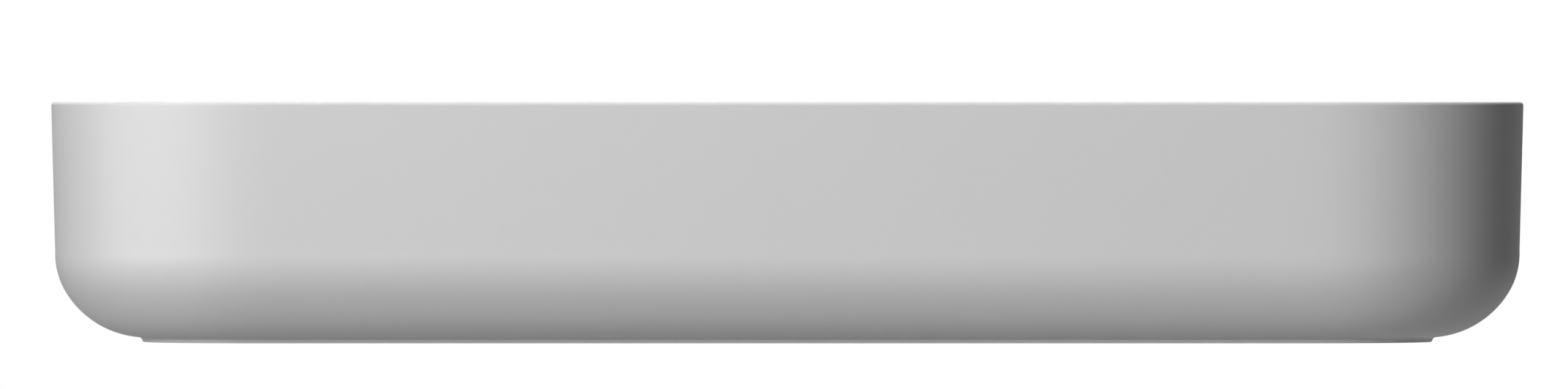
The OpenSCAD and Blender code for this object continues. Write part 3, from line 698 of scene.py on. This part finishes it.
def return_spring(group, material):
    """The wire in the cartridge, which the plug presses together."""
    low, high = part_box("cartridge_spring")
    height = high.z - low.z
    rise = height - 2 * WIRE_R
    values = {"Radius": COIL_R, "Pitch": rise / COIL_TURNS, "Length": rise, "Section Radius": WIRE_R,
              "Section Sides": WIRE_SIDES, "Steps per Turn": WIRE_STEPS, "Material": material}
    spring = wound("return_spring", group, values, at(0, waste_y, low.z + WIRE_R))
    shade(spring, WIRE_SHARP_ANGLE)
    fit_out(spring, "cartridge_spring", "basin", material)
    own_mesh(spring)


# Effects that several finishes share

def shader_group(name, inputs, outputs):
    """An empty node group with its sockets, and the nodes at its two ends."""
    group = bpy.data.node_groups.new(name, "ShaderNodeTree")
    for socket, kind in inputs:
        group.interface.new_socket(name=socket, in_out="INPUT", socket_type="NodeSocket" + kind)
    for socket, kind in outputs:
        group.interface.new_socket(name=socket, in_out="OUTPUT", socket_type="NodeSocket" + kind)
    return group, group.nodes.new("NodeGroupInput"), group.nodes.new("NodeGroupOutput")


def noise(tree, coordinates, scale, detail):
    node = tree.nodes.new("ShaderNodeTexNoise")
    node.inputs["Detail"].default_value = detail
    tree.links.new(coordinates, node.inputs["Vector"])
    if isinstance(scale, bpy.types.NodeSocket):
        tree.links.new(scale, node.inputs["Scale"])
    else:
        node.inputs["Scale"].default_value = scale
    return node.outputs["Fac"]


def relief(tree, height, depth):
    """A bump node whose relief is that deep."""
    node = tree.nodes.new("ShaderNodeBump")
    tree.links.new(height, node.inputs["Height"])
    tree.links.new(depth, node.inputs["Distance"])
    return node.outputs["Normal"]


def grain_group():
    """Uneven surface: broad patches with finer ones on them, as a mask and as a relief."""
    group, given, result = shader_group("surface_grain", [("Scale", "Float"), ("Depth", "Float")],
                                        [("Mask", "Float"), ("Normal", "Vector")])
    place = group.nodes.new("ShaderNodeTexCoord").outputs["Object"]
    broad = noise(group, place, given.outputs["Scale"], 2)
    fine = noise(group, place, calculate(group, "MULTIPLY", given.outputs["Scale"], FINE_PATCHES), 3)
    broad_part = calculate(group, "MULTIPLY", broad, BROAD_SHARE)
    fine_part = calculate(group, "MULTIPLY", fine, FINE_SHARE)
    mask = calculate(group, "ADD", broad_part, fine_part)
    group.links.new(mask, result.inputs["Mask"])
    group.links.new(relief(group, mask, given.outputs["Depth"]), result.inputs["Normal"])
    return group


def turning_group():
    """Tool marks round the waste's upright axis, that run on down the sides."""
    group, given, result = shader_group("turning_marks", [("Pitch", "Float"), ("Depth", "Float")],
                                        [("Mask", "Float"), ("Normal", "Vector")])
    place = group.nodes.new("ShaderNodeTexCoord").outputs["Object"]
    parts = group.nodes.new("ShaderNodeSeparateXYZ")
    group.links.new(place, parts.inputs[0])
    forward = calculate(group, "SUBTRACT", parts.outputs["Y"], waste_y)
    across = calculate(group, "MULTIPLY", parts.outputs["X"], parts.outputs["X"])
    square = calculate(group, "ADD", across, calculate(group, "MULTIPLY", forward, forward))
    path = calculate(group, "SUBTRACT", calculate(group, "SQRT", square), parts.outputs["Z"])
    turns = calculate(group, "DIVIDE", path, given.outputs["Pitch"])
    uneven = calculate(group, "MULTIPLY", noise(group, place, MARK_WANDER_SCALE, 2), MARK_WANDER)
    angle = calculate(group, "MULTIPLY", calculate(group, "ADD", turns, uneven), 2 * math.pi)
    wave = calculate(group, "SINE", angle)
    mask = calculate(group, "ADD", calculate(group, "MULTIPLY", wave, 0.5), 0.5)
    group.links.new(mask, result.inputs["Mask"])
    group.links.new(relief(group, mask, given.outputs["Depth"]), result.inputs["Normal"])
    return group


# Finishes

def new_material(name):
    material = bpy.data.materials.new(name)
    material.use_nodes = True
    tree = material.node_tree
    tree.nodes.clear()
    shader = tree.nodes.new("ShaderNodeBsdfPrincipled")
    out = tree.nodes.new("ShaderNodeOutputMaterial")
    tree.links.new(shader.outputs["BSDF"], out.inputs["Surface"])
    return material, tree, shader


def use_group(tree, group, **values):
    """A group in a material, with its inputs set."""
    node = tree.nodes.new("ShaderNodeGroup")
    node.node_tree = group
    for name, value in values.items():
        node.inputs[name].default_value = value
    return node.outputs["Mask"], node.outputs["Normal"]


def spread(tree, mask, low, high, from_low=0.3, from_high=0.7):
    """Turns a mask into a number between two values."""
    node = tree.nodes.new("ShaderNodeMapRange")
    tree.links.new(mask, node.inputs["Value"])
    node.inputs["From Min"].default_value = from_low
    node.inputs["From Max"].default_value = from_high
    node.inputs["To Min"].default_value = low
    node.inputs["To Max"].default_value = high
    return node.outputs["Result"]


def blend_colours(tree, mask, first, second):
    """A colour between two, each a colour or an output."""
    node = tree.nodes.new("ShaderNodeMix")
    node.data_type = "RGBA"
    tree.links.new(mask, node.inputs["Factor"])
    for socket, colour in ((node.inputs["A"], first), (node.inputs["B"], second)):
        if isinstance(colour, bpy.types.NodeSocket):
            tree.links.new(colour, socket)
        else:
            socket.default_value = (*colour, 1)
    return node.outputs["Result"]


def finish_material(name, group, values, colours, roughness, metallic=0.0, specular=0.5):
    """A finish whose colour and roughness vary with one shared effect, which also gives its relief."""
    material, tree, shader = new_material(name)
    mask, normal = use_group(tree, group, **values)
    tree.links.new(blend_colours(tree, spread(tree, mask, 0.0, 1.0), *colours), shader.inputs["Base Color"])
    tree.links.new(spread(tree, mask, *roughness), shader.inputs["Roughness"])
    tree.links.new(normal, shader.inputs["Normal"])
    shader.inputs["Metallic"].default_value = metallic
    shader.inputs["Specular IOR Level"].default_value = specular
    return material


def satin_glaze(group):
    """White satin glaze, hardly uneven. The foot's ground ring and the wall face are bare, pale biscuit."""
    material, tree, shader = new_material("white_satin_glaze")
    mask, normal = use_group(tree, group, **GLAZE_GRAIN)
    place = tree.nodes.new("ShaderNodeTexCoord").outputs["Object"]
    parts = tree.nodes.new("ShaderNodeSeparateXYZ")
    tree.links.new(place, parts.inputs[0])
    edge = calculate(tree, "MULTIPLY", noise(tree, place, BARE_EDGE_SCALE, 3), BARE_EDGE_WANDER)
    above_ground = calculate(tree, "ADD", parts.outputs["Z"], edge)
    bare_from, bare_to = BARE_ABOVE_GROUND
    ground = spread(tree, above_ground, 1.0, 0.0, foot_z + bare_from, foot_z + bare_to)
    from_wall = calculate(tree, "SUBTRACT", parts.outputs["Y"], edge)
    wall_side = spread(tree, from_wall, 0.0, 1.0, *BARE_BEFORE_WALL)
    bare = calculate(tree, "MAXIMUM", ground, wall_side)
    glazed = blend_colours(tree, spread(tree, mask, 0.0, 1.0), GLAZE_COLOUR, GLAZE_SHADE)
    tree.links.new(blend_colours(tree, bare, glazed, BISCUIT_COLOUR), shader.inputs["Base Color"])
    glaze_roughness = spread(tree, mask, *GLAZE_ROUGHNESS)
    rough = calculate(tree, "ADD", glaze_roughness, calculate(tree, "MULTIPLY", bare, BISCUIT_ROUGHER))
    tree.links.new(rough, shader.inputs["Roughness"])
    tree.links.new(normal, shader.inputs["Normal"])
    shader.inputs["Specular IOR Level"].default_value = 0.0
    shader.inputs["Coat Weight"].default_value = GLAZE_COAT
    shader.inputs["Coat Roughness"].default_value = GLAZE_COAT_ROUGHNESS
    return material


def dress(names, material):
    """Gives CAD pieces that keep their own shape their finish."""
    for name in names:
        mesh = nodes[name].data
        mesh.materials.clear()
        mesh.materials.append(material)


# The whole

make_camera()
make_world()
make_floor()
for name, values in LAMPS.items():
    make_softbox(name, *values)
for name, values in GLOSS_CARDS.items():
    make_softbox(name, *values, only_gloss=True)
bpy.context.scene.view_settings.view_transform = "Standard"

grain = grain_group()
turning = turning_group()
winding = wound_group()

glaze = satin_glaze(grain)
chrome = finish_material("bright_chrome", grain, {"Scale": 90.0, "Depth": 0.0000006},
                         ((0.63, 0.64, 0.65), (0.58, 0.59, 0.60)), (0.06, 0.12), metallic=1.0)
brass = finish_material("turned_brass", turning, {"Pitch": 0.0004, "Depth": 0.00001},
                        ((0.80, 0.63, 0.33), (0.68, 0.52, 0.26)), (0.22, 0.36), metallic=1.0)
steel = finish_material("zinc_plated_steel", grain, {"Scale": 420.0, "Depth": 0.00001},
                        ((0.66, 0.67, 0.69), (0.52, 0.53, 0.56)), (0.26, 0.44), metallic=1.0)
wire = finish_material("drawn_steel_wire", grain, {"Scale": 1500.0, "Depth": 0.000004},
                       ((0.60, 0.59, 0.57), (0.48, 0.47, 0.45)), (0.20, 0.34), metallic=1.0)
rubber = finish_material("black_rubber", grain, {"Scale": 900.0, "Depth": 0.00002},
                         ((0.026, 0.026, 0.028), (0.045, 0.045, 0.046)), (0.52, 0.74), specular=0.4)
acetal = finish_material("white_acetal", grain, {"Scale": 300.0, "Depth": 0.000006},
                         ((0.80, 0.80, 0.78), (0.75, 0.75, 0.73)), (0.28, 0.42))
nylon = finish_material("natural_nylon", grain, {"Scale": 380.0, "Depth": 0.000012},
                        ((0.78, 0.76, 0.69), (0.72, 0.70, 0.62)), (0.36, 0.52))

dress(["overflow_ring", "plug_cap"], chrome)
dress(["lock_nut"], brass)
dress(["plug_stem", "bolt_washers", "bolt_nuts"], steel)
dress(["overflow_seal", "flange_seal", "clamp_gasket", "plug_seal"], rubber)
dress(["slip_washer", "cartridge_housing", "cartridge_lid"], acetal)
dress(["cartridge_cam", "bolt_sleeves", "nut_caps"], nylon)

fit_out(glazed_moulding(), "basin_body", "basin", glaze)
threaded_waste(winding, chrome)
threaded_bolts(winding, steel)
return_spring(winding, wire)
